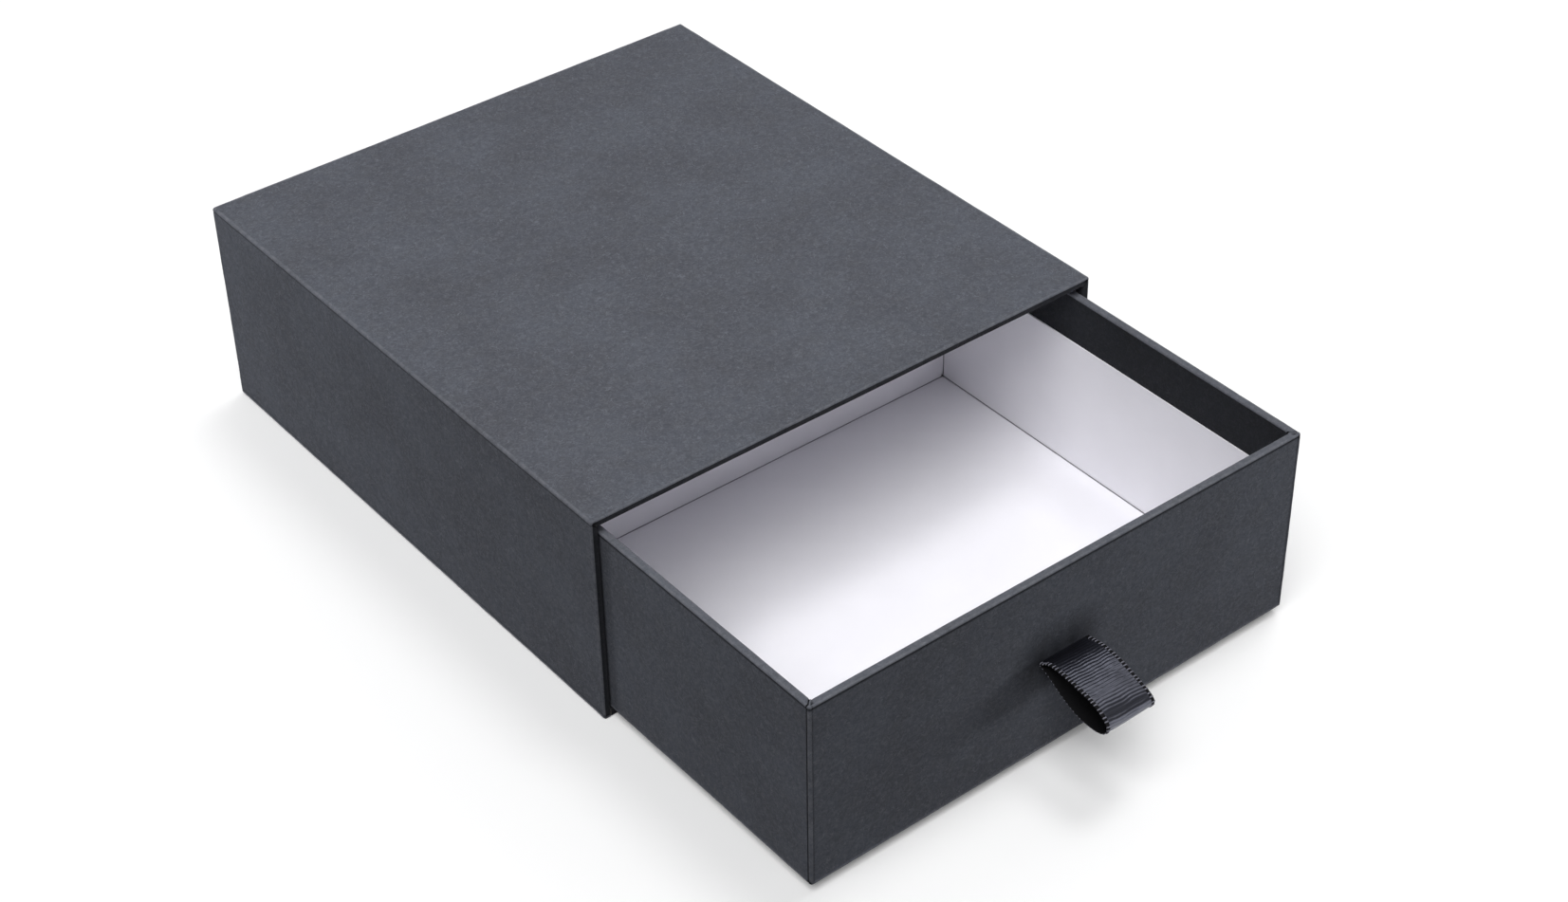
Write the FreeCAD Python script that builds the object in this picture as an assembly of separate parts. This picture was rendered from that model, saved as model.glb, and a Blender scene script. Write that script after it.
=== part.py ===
"""Sliding drawer gift box: a board sleeve closed at the back, and a tray drawer with a ribbon pull.

Millimetres. +Z is up, +X is right as seen from the mouth, and the drawer opens towards -Y.
The origin is the centre of the sleeve's underside. The drawer is modelled partly pulled out.
"""
import FreeCAD, Part
import os

# Sheet stock
board_t = 2.0            # greyboard of every panel
paper_t = 0.2            # covering paper
tape_t = 0.15            # gummed paper tape
card_t = 0.5             # white lining card
ribbon_t = 0.3           # double-faced satin

# Sleeve
sleeve_width = 200.0
sleeve_depth = 222.0
sleeve_height = 78.0
sleeve_turn_in = 18.0    # wrap folded into the mouth
wrap_flap = 15.0         # wrap folded under the base and onto the back
sheet_inset = 1.5        # base and back papers stop this far inside the edges
lining_setback = 3.0     # sleeve lining starts this far behind the rim

# Drawer
drawer_open = 97.5       # how far the drawer stands out of the mouth
side_clearance = 0.35
slide_gap = 0.25         # under the drawer
head_clearance = 2.85    # above the drawer
end_clearance = 0.75     # behind the drawer when it is shut
drawer_turn_in = 20.5    # wrap folded over the rim and down inside
lining_drop = 17.5       # rim to the top edge of the white lining
card_gap = 0.4           # between a lining card and the next one
card_corner_r = 2.2
compartment_depth = 157.0
divider_side_gap = 0.2
divider_foot = 8.0

# Edges and tape
edge_r = 0.9             # covered outer edges
rim_r = 0.3              # folded edge of the paper at the drawer's rim
tape_leg = 12.0          # tape on each side of a corner

# Ribbon pull
ribbon_width = 20.0
ribbon_tail = 12.0       # glued end behind the front board
tail_gap = 1.2           # between the upper tail and the turned-in paper above it
slit_play = 0.5          # at each end of the slit
layer_gap = 0.1          # between the two layers in the slit
loop_reach = 29.2        # how far the loop stands out
loop_rise = 1.7          # top of the loop above the slit
loop_drop = 9.1          # underside of the loop below the slit
loop_root_gap = 0.8      # free part of the loop starts this far out
anchor_width = 30.0
anchor_margin = 2.0      # tape past the end of each tail

# Sleeve levels, from the outside in
under_skin = 2 * paper_t + tape_t            # base paper, flap and tape
side_skin = paper_t + tape_t
mouth_y = -sleeve_depth / 2
rear_y = sleeve_depth / 2
half_width = sleeve_width / 2
inner_skin = 2 * paper_t                     # turn-in and lining
wall_t = side_skin + board_t + inner_skin
cavity_half = half_width - wall_t
cavity_floor = under_skin + board_t + inner_skin
cavity_roof = sleeve_height - wall_t
cavity_end = rear_y - under_skin - board_t - paper_t

# Drawer levels
drawer_half = cavity_half - side_clearance
drawer_bottom = cavity_floor + slide_gap
drawer_top = cavity_roof - head_clearance
drawer_front = mouth_y - drawer_open
drawer_back = drawer_front + (cavity_end - mouth_y) - end_clearance
board_half = drawer_half - side_skin         # outer face of the side boards
board_inner_half = board_half - board_t
board_front = drawer_front + side_skin
board_back = drawer_back - side_skin
board_inner_front = board_front + board_t
board_inner_back = board_back - board_t
board_bottom = drawer_bottom + paper_t
board_top = drawer_top - paper_t
floor_board_top = board_bottom + board_t
floor_top = floor_board_top + card_t
card_top = drawer_top - lining_drop
side_card_face = board_inner_half - paper_t - card_t
front_card_back = board_inner_front + ribbon_t + tape_t
front_card_face = front_card_back + card_t
back_card_back = board_inner_back - paper_t
back_card_face = back_card_back - card_t
divider_front = front_card_face + compartment_depth
divider_back = divider_front + board_t + 2 * card_t
slit_z = drawer_top - drawer_turn_in - tail_gap - ribbon_tail
slit_gap = 2 * ribbon_t + 2 * layer_gap      # height of the slit itself


def block(x, y, z):
    """Box from three (low, high) pairs."""
    size = [high - low for low, high in (x, y, z)]
    return Part.makeBox(*size, FreeCAD.Vector(x[0], y[0], z[0]))


def mirrored(half):
    return (-half, half)


def runs_along(edge, axis):
    ends = [vertex.Point for vertex in edge.Vertexes]
    return len(ends) == 2 and abs((ends[1] - ends[0])[axis]) > 1e-6


def lies_at(edge, axis, value):
    return all(abs(vertex.Point[axis] - value) < 1e-6 for vertex in edge.Vertexes)


def sleeve_form(x, y, z, radius):
    """Block with its edges along Y and round its back face rounded."""
    solid = block(x, y, z)
    edges = [edge for edge in solid.Edges if runs_along(edge, 1) or lies_at(edge, 1, y[1])]
    return solid.makeFillet(radius, edges)


def drawer_form(x, y, z, radius):
    """Block with its upright edges and its bottom edges rounded."""
    solid = block(x, y, z)
    edges = [edge for edge in solid.Edges if runs_along(edge, 2) or lies_at(edge, 2, z[0])]
    return solid.makeFillet(radius, edges)


def tube(outer, inner, axis_span):
    """Square tube along Y: outer and inner are (x pair, z pair)."""
    return block(outer[0], axis_span, outer[1]).cut(block(inner[0], axis_span, inner[1]))


# Sleeve: the space under the wrap, and the block that the boards fill
def sleeve_wrap_inside():
    return sleeve_form(mirrored(half_width - paper_t), (mouth_y + paper_t, rear_y - 2 * paper_t),
                       (2 * paper_t, sleeve_height - paper_t), edge_r - paper_t)


def sleeve_core():
    return sleeve_form(mirrored(half_width - side_skin), (mouth_y + paper_t, rear_y - under_skin),
                       (under_skin, sleeve_height - side_skin), edge_r - paper_t)


def sleeve_boards():
    """Top and base run full width, the sides stand between them and the back fits inside all four."""
    base_top = under_skin + board_t
    roof = sleeve_height - side_skin - board_t
    side = half_width - side_skin - board_t
    back = rear_y - under_skin - board_t
    everywhere = (-2 * sleeve_depth, 2 * sleeve_depth)
    beyond = 2 * sleeve_width
    regions = {
        "sleeve_top_board": (mirrored(beyond), everywhere, (roof, 2 * sleeve_height)),
        "sleeve_base_board": (mirrored(beyond), everywhere, (0.0, base_top)),
        "sleeve_left_board": ((-beyond, -side), everywhere, (base_top, roof)),
        "sleeve_right_board": ((side, beyond), everywhere, (base_top, roof)),
        "sleeve_back_board": (mirrored(side), (back, 2 * sleeve_depth), (base_top, roof)),
    }
    core = sleeve_core()
    return {name: core.common(block(*region)) for name, region in regions.items()}


def sleeve_stay_tapes():
    """Gummed tape over the four long corners and over the back board's four edges."""
    layer = sleeve_wrap_inside().cut(sleeve_core())
    layer = layer.cut(block(mirrored(half_width), (mouth_y, mouth_y + paper_t), (0.0, sleeve_height)))
    outer_x = half_width - paper_t
    outer_z = (2 * paper_t, sleeve_height - paper_t)
    outer_y = rear_y - 2 * paper_t
    long_y = (mouth_y + paper_t, outer_y - tape_leg)
    back_y = (outer_y - tape_leg, outer_y)
    low = (outer_z[0], outer_z[0] + tape_leg)
    high = (outer_z[1] - tape_leg, outer_z[1])
    left = (-outer_x, -outer_x + tape_leg)
    right = (outer_x - tape_leg, outer_x)
    between_x = (left[1], right[0])
    between_z = (low[1], high[0])
    strips = [(x, long_y, z) for x in (left, right) for z in (low, high)]
    strips += [(between_x, back_y, z) for z in (low, high)]
    strips += [(x, back_y, between_z) for x in (left, right)]
    return Part.makeCompound([layer.common(block(*strip)) for strip in strips])


def sleeve_wrap():
    """One sheet over the left side, top and right side, flapped under the base and onto the back,
    and folded round the rim into the mouth."""
    outer = sleeve_form(mirrored(half_width), (mouth_y, rear_y - paper_t),
                        (paper_t, sleeve_height), edge_r)
    shell = outer.cut(sleeve_wrap_inside())
    board_x = half_width - side_skin - board_t
    board_z = (under_skin + board_t, sleeve_height - side_skin - board_t)
    strip_x = board_x - paper_t
    strip_z = (board_z[0] + paper_t, board_z[1] - paper_t)
    strip_end = mouth_y + sleeve_turn_in
    mouth = block(mirrored(strip_x), (mouth_y, mouth_y + paper_t), (0.0, strip_z[1]))
    turn_in = tube((mirrored(board_x), board_z), (mirrored(strip_x), (0.0, strip_z[1])),
                   (mouth_y + paper_t, strip_end))
    under = block(mirrored(half_width - wrap_flap), (mouth_y, rear_y), (0.0, 2 * paper_t))
    behind = block(mirrored(half_width - wrap_flap), (rear_y - 2 * paper_t, rear_y),
                   (wrap_flap, sleeve_height - wrap_flap))
    return shell.cut(mouth).cut(under).cut(behind).fuse(turn_in).removeSplitter()


def sleeve_base_paper():
    """Sheet under the sleeve that hides the flaps, folded up over the base board's front edge."""
    strip_x = half_width - side_skin - board_t - paper_t
    strip_top = under_skin + board_t + paper_t
    sheet = block(mirrored(half_width - sheet_inset), (mouth_y + paper_t, rear_y - sheet_inset),
                  (0.0, paper_t))
    nose = block(mirrored(strip_x), (mouth_y, mouth_y + paper_t), (0.0, strip_top))
    strip = block(mirrored(strip_x), (mouth_y + paper_t, mouth_y + sleeve_turn_in),
                  (strip_top - paper_t, strip_top))
    return sheet.fuse([nose, strip]).removeSplitter()


def sleeve_back_paper():
    return block(mirrored(half_width - sheet_inset), (rear_y - paper_t, rear_y),
                 (sheet_inset, sleeve_height - sheet_inset))


def sleeve_lining():
    """Paper on the four inner faces and on the back board."""
    outer = block(mirrored(cavity_half + paper_t), (mouth_y + lining_setback, cavity_end + paper_t),
                  (cavity_floor - paper_t, cavity_roof + paper_t))
    inner = block(mirrored(cavity_half), (mouth_y, cavity_end), (cavity_floor, cavity_roof))
    return outer.cut(inner)


# Drawer: the space under the wrap, and the block that the boards fill
def drawer_wrap_inside():
    return drawer_form(mirrored(drawer_half - paper_t), (drawer_front + paper_t, drawer_back - paper_t),
                       (board_bottom, board_top), edge_r - paper_t)


def drawer_core():
    return drawer_form(mirrored(board_half), (board_front, board_back),
                       (board_bottom, board_top), edge_r - paper_t)


def ribbon_slit():
    """Cut through the covered front, for two layers of ribbon."""
    return block(mirrored(ribbon_width / 2 + slit_play), (drawer_front - paper_t, board_inner_front),
                 (slit_z - slit_gap / 2, slit_z + slit_gap / 2))


def drawer_boards():
    """Front and back run full width, the sides stand between them and the floor fits inside all four."""
    beyond = 2 * sleeve_width
    upright = (0.0, sleeve_height)
    inside_y = (board_inner_front, board_inner_back)
    regions = {
        "drawer_front_board": (mirrored(beyond), (board_front, board_inner_front), upright),
        "drawer_back_board": (mirrored(beyond), (board_inner_back, board_back), upright),
        "drawer_left_board": ((-beyond, -board_inner_half), inside_y, upright),
        "drawer_right_board": ((board_inner_half, beyond), inside_y, upright),
        "drawer_floor_board": (mirrored(board_inner_half), inside_y, (0.0, floor_board_top)),
    }
    core = drawer_core()
    boards = {name: core.common(block(*region)) for name, region in regions.items()}
    boards["drawer_front_board"] = boards["drawer_front_board"].cut(ribbon_slit())
    return boards


def drawer_stay_tapes():
    """Gummed tape round the four upright corners."""
    layer = drawer_wrap_inside().cut(drawer_core())
    edge_x = drawer_half - paper_t
    front = (drawer_front + paper_t, drawer_front + paper_t + tape_leg)
    back = (drawer_back - paper_t - tape_leg, drawer_back - paper_t)
    left = (-edge_x, -edge_x + tape_leg)
    right = (edge_x - tape_leg, edge_x)
    corners = [(x, y, (board_bottom, board_top)) for x in (left, right) for y in (front, back)]
    return Part.makeCompound([layer.common(block(*corner)) for corner in corners])


def drawer_wrap():
    """One sheet under the tray and up its four sides, folded over the rim and down inside."""
    outer = drawer_form(mirrored(drawer_half), (drawer_front, drawer_back),
                        (drawer_bottom, drawer_top), edge_r)
    rim = [edge for edge in outer.Edges if lies_at(edge, 2, drawer_top)]
    outer = outer.makeFillet(rim_r, rim)
    strip_half = board_inner_half - paper_t
    strip_y = (board_inner_front + paper_t, board_inner_back - paper_t)
    strip_z = (drawer_top - drawer_turn_in, board_top)
    opening = block(mirrored(strip_half), strip_y, (board_top, drawer_top))
    turn_in = block(mirrored(board_inner_half), (board_inner_front, board_inner_back), strip_z)
    turn_in = turn_in.cut(block(mirrored(strip_half), strip_y, strip_z))
    shell = outer.cut(drawer_wrap_inside()).cut(opening)
    return shell.fuse(turn_in).removeSplitter().cut(ribbon_slit())


def card(x, y, z, axis, radius, corners=None):
    """Flat card with the edges that run through its thickness (along axis) rounded."""
    solid = block(x, y, z)
    edges = [edge for edge in solid.Edges if runs_along(edge, axis)]
    if corners is not None:
        edges = [edge for edge in edges if lies_at(edge, 2, corners)]
    return solid.makeFillet(radius, edges)


def drawer_linings():
    """White cards glued to the floor and to the four walls, over the lower edge of the turn-in."""
    wall_z = (floor_board_top, card_top)
    wall_x = mirrored(board_inner_half - paper_t)
    side_y = (front_card_face + card_gap, back_card_face - card_gap)
    side_x = (side_card_face, side_card_face + card_t)
    foot = floor_board_top
    return {
        "floor_lining": card(mirrored(side_card_face - card_gap), side_y, (foot, floor_top),
                             2, card_corner_r / 2),
        "front_lining": card(wall_x, (front_card_back, front_card_face), wall_z,
                             1, card_corner_r, foot),
        "back_lining": card(wall_x, (back_card_face, back_card_back), wall_z,
                            1, card_corner_r, foot),
        "left_lining": card((-side_x[1], -side_x[0]), side_y, wall_z, 0, card_corner_r, foot),
        "right_lining": card(side_x, side_y, wall_z, 0, card_corner_r, foot),
    }


def divider_board():
    half = side_card_face - divider_side_gap
    return card(mirrored(half), (divider_front + card_t, divider_back - card_t),
                (floor_top, card_top - card_t), 1, card_corner_r, floor_top)


def divider_cover():
    """White card folded over the divider board, with a glued foot behind it."""
    half = side_card_face - divider_side_gap
    around = card(mirrored(half), (divider_front, divider_back), (floor_top, card_top),
                  1, card_corner_r, floor_top)
    core = block(mirrored(half), (divider_front + card_t, divider_back - card_t),
                 (floor_top, card_top - card_t))
    foot = block(mirrored(half - card_corner_r), (divider_back - card_t, divider_back + divider_foot),
                 (floor_top, floor_top + card_t))
    return around.cut(core).fuse(foot).removeSplitter()


# Ribbon
def ribbon_tails():
    """Both ends of the ribbon, through the slit and glued flat behind the front board."""
    glued_y = (board_inner_front, board_inner_front + ribbon_t)
    through_y = (drawer_front, glued_y[1])
    x = mirrored(ribbon_width / 2)
    tails = []
    for side in (1, -1):
        level = [slit_z + side * layer_gap / 2, slit_z + side * (layer_gap / 2 + ribbon_t)]
        end = [level[0], slit_z + side * ribbon_tail]
        through = block(x, through_y, sorted(level))
        tails.append(through.fuse(block(x, glued_y, sorted(end))).removeSplitter())
    return Part.makeCompound(tails)


def ribbon_anchor_tape():
    back = board_inner_front + ribbon_t
    reach = ribbon_tail + anchor_margin
    return block(mirrored(anchor_width / 2), (back, back + tape_t), (slit_z - reach, slit_z + reach))


def loop_point(out, up):
    return FreeCAD.Vector(-ribbon_width / 2, drawer_front - out, slit_z + up)


def pull_ribbon():
    """The free loop: side view of its outer face from the upper layer round the fold to the lower."""
    root = layer_gap / 2 + ribbon_t
    profile = [
        (loop_root_gap, root),
        (0.33 * loop_reach, loop_rise),
        (0.62 * loop_reach, 0.65 * loop_rise),
        (0.86 * loop_reach, -0.13 * loop_drop),
        (loop_reach, -0.56 * loop_drop),
        (0.88 * loop_reach, -0.97 * loop_drop),
        (0.62 * loop_reach, -0.93 * loop_drop),
        (0.31 * loop_reach, -0.60 * loop_drop),
        (loop_root_gap, -root),
    ]
    outer = Part.BSplineCurve()
    outer.interpolate([loop_point(out, up) for out, up in profile])
    inner_points = []
    for out, up in profile:
        at = loop_point(out, up)
        along = outer.tangent(outer.parameter(at))[0]
        inward = FreeCAD.Vector(1, 0, 0).cross(along).normalize()
        inner_points.append(at + inward * ribbon_t)
    inner = Part.BSplineCurve()
    inner.interpolate(inner_points)
    upper_end = Part.makeLine(outer.StartPoint, inner.StartPoint)
    lower_end = Part.makeLine(outer.EndPoint, inner.EndPoint)
    section = Part.Wire(Part.__sortEdges__([outer.toShape(), lower_end, inner.toShape(), upper_end]))
    return Part.Face(section).extrude(FreeCAD.Vector(ribbon_width, 0, 0))


def build():
    nodes = sleeve_boards()
    nodes["sleeve_stay_tapes"] = sleeve_stay_tapes()
    nodes["sleeve_wrap"] = sleeve_wrap()
    nodes["sleeve_base_paper"] = sleeve_base_paper()
    nodes["sleeve_back_paper"] = sleeve_back_paper()
    nodes["sleeve_lining"] = sleeve_lining()
    nodes.update(drawer_boards())
    nodes["drawer_stay_tapes"] = drawer_stay_tapes()
    nodes["drawer_wrap"] = drawer_wrap()
    nodes.update(drawer_linings())
    nodes["divider_board"] = divider_board()
    nodes["divider_cover"] = divider_cover()
    nodes["ribbon_tails"] = ribbon_tails()
    nodes["ribbon_anchor_tape"] = ribbon_anchor_tape()
    nodes["pull_ribbon"] = pull_ribbon()
    return nodes


os.makedirs("parts", exist_ok=True)
for name, shape in build().items():
    shape.exportStep(os.path.join("parts", name + ".step"))
    print(name, len(shape.Solids), "valid" if shape.isValid() else "INVALID", round(shape.Volume, 1))
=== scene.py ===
# Sliding drawer gift box: a paper-covered board sleeve and a white-lined drawer with a satin ribbon pull.
# Metres, +Z up, +X right as seen from the mouth, and the drawer opens towards -Y.
import math
import bmesh
import bpy
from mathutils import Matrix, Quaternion, Vector, noise


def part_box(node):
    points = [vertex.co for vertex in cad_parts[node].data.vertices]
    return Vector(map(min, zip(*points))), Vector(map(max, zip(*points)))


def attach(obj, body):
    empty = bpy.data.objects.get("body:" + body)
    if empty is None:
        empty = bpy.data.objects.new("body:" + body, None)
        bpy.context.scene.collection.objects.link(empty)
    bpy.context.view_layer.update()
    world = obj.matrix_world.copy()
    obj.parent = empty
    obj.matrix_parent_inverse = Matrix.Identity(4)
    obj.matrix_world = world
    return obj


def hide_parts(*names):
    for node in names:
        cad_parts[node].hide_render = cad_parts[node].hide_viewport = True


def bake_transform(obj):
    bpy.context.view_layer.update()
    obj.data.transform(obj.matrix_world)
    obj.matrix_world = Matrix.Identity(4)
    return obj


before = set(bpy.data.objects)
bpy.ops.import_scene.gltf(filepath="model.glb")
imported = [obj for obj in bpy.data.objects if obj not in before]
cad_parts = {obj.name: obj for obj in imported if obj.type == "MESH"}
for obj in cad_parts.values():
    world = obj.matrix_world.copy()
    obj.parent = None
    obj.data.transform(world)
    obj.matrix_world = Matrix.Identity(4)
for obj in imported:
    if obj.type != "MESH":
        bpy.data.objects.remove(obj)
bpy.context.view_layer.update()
MM = 0.001


# Camera. It looks down on the box from its near left corner, about a metre away,
# through a short telephoto lens, and leans a degree to one side.
eye = Vector((-448.4, -648.3, 593.9)) * MM
azimuth, elevation, lean = (math.radians(angle) for angle in (-38.057, 37.563, -0.996))
backward = Vector((math.sin(azimuth) * math.cos(elevation),
                   -math.cos(azimuth) * math.cos(elevation),
                   math.sin(elevation)))
lens = bpy.data.cameras.new("camera")
lens.sensor_width = 36.0
lens.sensor_fit = "HORIZONTAL"
lens.lens = 64.47
lens.clip_start = 0.01
camera = bpy.data.objects.new("camera", lens)
camera.location = eye
camera.rotation_mode = "QUATERNION"
camera.rotation_quaternion = backward.to_track_quat("Z", "Y") @ Quaternion((0, 0, 1), lean)
bpy.context.scene.collection.objects.link(camera)
bpy.context.scene.camera = camera
bpy.context.scene.view_settings.view_transform = "Standard"


# Studio floor. A white paper sweep that fills the view and takes the box's soft shadow.
# What the camera and mirrors see of it is lifted to white, and the box gets no light from that.
def to_linear(hex_colour):
    """sRGB hex colour as linear RGBA."""
    shares = [int(hex_colour[place:place + 2], 16) / 255 for place in (1, 3, 5)]
    return [s / 12.92 if s <= 0.04045 else ((s + 0.055) / 1.055) ** 2.4 for s in shares] + [1.0]


def add(tree, kind, inputs=None, **settings):
    """Adds a shader node. An input is linked where its value is another node or a node's output, and
    set where it is a constant. A node stands for its first output in use."""
    node = tree.nodes.new("ShaderNode" + kind)
    for name, value in settings.items():
        setattr(node, name, value)
    for name, value in (inputs or {}).items():
        if isinstance(value, bpy.types.Node):
            value = next(output for output in value.outputs if output.enabled)
        if isinstance(value, bpy.types.NodeSocket):
            tree.links.new(value, node.inputs[name])
        else:
            node.inputs[name].default_value = value
    return node


def new_material(name):
    """New material, and its empty tree."""
    material = bpy.data.materials.new(name)
    material.use_nodes = True
    material.node_tree.nodes.clear()
    return material, material.node_tree


def seen_directly(tree):
    """1 for rays from the camera, and for those by way of a mirror or glass."""
    rays = add(tree, "LightPath").outputs
    either = add(tree, "Math", {0: rays["Is Camera Ray"], 1: rays["Is Glossy Ray"]}, operation="MAXIMUM")
    return add(tree, "Math", {0: either, 1: rays["Is Transmission Ray"]}, operation="MAXIMUM")


floor_reach = 6.0
# The floor stays just clear of the paper that rests on it.
floor_drop = 0.1 * MM
floor_mesh = bpy.data.meshes.new("floor")
floor_mesh.from_pydata([(x * floor_reach, y * floor_reach, -floor_drop)
                        for x, y in ((-1, -1), (1, -1), (1, 1), (-1, 1))], [], [(0, 1, 2, 3)])
floor = bpy.data.objects.new("floor", floor_mesh)
bpy.context.scene.collection.objects.link(floor)
sweep, tree = new_material("white paper sweep")
paper = add(tree, "BsdfDiffuse", {"Color": to_linear("#EDEDED")})
glow = add(tree, "Emission", {"Color": to_linear("#FFFFFF"), "Strength": 0.12})
lifted = add(tree, "AddShader", {0: paper, 1: glow})
dull = add(tree, "BsdfDiffuse", {"Color": to_linear("#404040")})
either = add(tree, "MixShader", {0: seen_directly(tree), 1: dull, 2: lifted})
add(tree, "OutputMaterial", {"Surface": either})
floor_mesh.materials.append(sweep)


# Studio light. A large softbox high up to the left and front, a small one overhead, and a weak one
# behind the box and to its right. Two low strips brighten the far ends of its sides, and a room
# with white walls and a dim ceiling fills the shadows a little.
def stand_for(lamp, facing):
    """Puts a lamp on a stand whose back points along facing."""
    stand = bpy.data.objects.new(lamp.name, lamp)
    stand.rotation_mode = "QUATERNION"
    stand.rotation_quaternion = facing.to_track_quat("Z", "Y")
    bpy.context.scene.collection.objects.link(stand)
    return stand


def softbox(name, aim, share, spread):
    """Very large lamp in the direction of aim. It lights a surface that faces it to share of full."""
    lamp = bpy.data.lights.new(name, "SUN")
    lamp.energy = share * math.pi
    lamp.angle = math.radians(spread)
    stand_for(lamp, Vector(aim))


def strip_light(name, place, target, watts):
    """Low strip lamp at place that points at target. It leaves no highlight."""
    lamp = bpy.data.lights.new(name, "AREA")
    lamp.shape = "RECTANGLE"
    lamp.size, lamp.size_y = 0.25, 0.08
    lamp.energy = watts
    stand = stand_for(lamp, Vector(place) - Vector(target))
    stand.location = place
    stand.visible_camera = False
    stand.visible_glossy = False


softbox("key softbox", (-0.41, -0.32, 1.0), 0.75, 46)
softbox("top softbox", (0.3, 0.06, 1.0), 0.2, 18)
softbox("rear softbox", (0.65, 0.5, 1.0), 0.2, 60)
strip_light("left strip", (-0.45, 0.36, 0.08), (-0.1, 0.1, 0.04), 0.8)
strip_light("front strip", (0.36, -0.56, 0.08), (0.08, -0.2, 0.04), 0.65)
room = bpy.data.worlds.new("white room")
room.use_nodes = True
tree = room.node_tree
tree.nodes.clear()
fill = add(tree, "Background", {"Color": to_linear("#F4F6FF"), "Strength": 0.05})
skyward = add(tree, "TexCoord").outputs["Generated"]
height = add(tree, "SeparateXYZ", {"Vector": skyward}).outputs["Z"]
wall = add(tree, "MapRange", {"Value": height, "From Min": 0.1, "From Max": 0.3,
                              "To Min": 1.0, "To Max": 0.15})
white = add(tree, "Background", {"Color": to_linear("#FFFFFF"), "Strength": wall})
either = add(tree, "MixShader", {0: seen_directly(tree), 1: fill, 2: white})
add(tree, "OutputWorld", {"Surface": either})
bpy.context.scene.world = room


# Boards of the sleeve and the drawer. Solid greyboard, 2 mm, pressed from waste paper and cut with
# square edges. All of them are covered: the paper hides them from every side.
def greyboard():
    """Pressed waste paper: warm grey pulp with darker flecks of old print."""
    material, tree = new_material("solid greyboard")
    place = add(tree, "TexCoord").outputs["Object"]
    pulp = add(tree, "TexNoise", {"Vector": place, "Scale": 1 / (6 * MM), "Detail": 4.0})
    specks = add(tree, "TexNoise", {"Vector": place, "Scale": 1 / (0.9 * MM)})
    fleck = add(tree, "MapRange", {"Value": specks, "From Min": 0.62, "From Max": 0.7, "To Max": 0.6})
    # Inputs 6 and 7 of a colour mix are its two colours.
    tone = add(tree, "Mix", {0: pulp, 6: to_linear("#8F8B84"), 7: to_linear("#A39F97")},
               data_type="RGBA")
    tone = add(tree, "Mix", {0: fleck, 6: tone, 7: to_linear("#6C6964")}, data_type="RGBA")
    relief = add(tree, "Bump", {"Height": pulp, "Distance": 0.1 * MM})
    surface = add(tree, "BsdfPrincipled", {"Base Color": tone, "Normal": relief, "Roughness": 0.9})
    add(tree, "OutputMaterial", {"Surface": surface})
    return material


def dress(node, material):
    """Gives a CAD node its finish."""
    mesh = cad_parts[node].data
    mesh.materials.clear()
    mesh.materials.append(material)


board = greyboard()
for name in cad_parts:
    if name.endswith("_board"):
        dress(name, board)


# Stay tapes. Gummed kraft paper tape, wetted and pressed over each board corner to hold it square.
# The strips lie under the covering paper.
def kraft():
    """Brown kraft: long darker fibres that run one way along the strip."""
    material, tree = new_material("gummed kraft paper")
    place = add(tree, "TexCoord").outputs["Object"]
    along = add(tree, "Mapping", {"Vector": place, "Scale": (1.0, 0.2, 1.0)})
    fibre = add(tree, "TexNoise", {"Vector": along, "Scale": 1 / (0.8 * MM), "Detail": 3.0})
    tone = add(tree, "Mix", {0: fibre, 6: to_linear("#A8865C"), 7: to_linear("#C2A278")},
               data_type="RGBA")
    relief = add(tree, "Bump", {"Height": fibre, "Distance": 0.03 * MM})
    surface = add(tree, "BsdfPrincipled", {"Base Color": tone, "Normal": relief, "Roughness": 0.75})
    add(tree, "OutputMaterial", {"Surface": surface})
    return material


stay_tape = kraft()
for name in ("sleeve_stay_tapes", "drawer_stay_tapes", "ribbon_anchor_tape"):
    dress(name, stay_tape)


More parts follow.
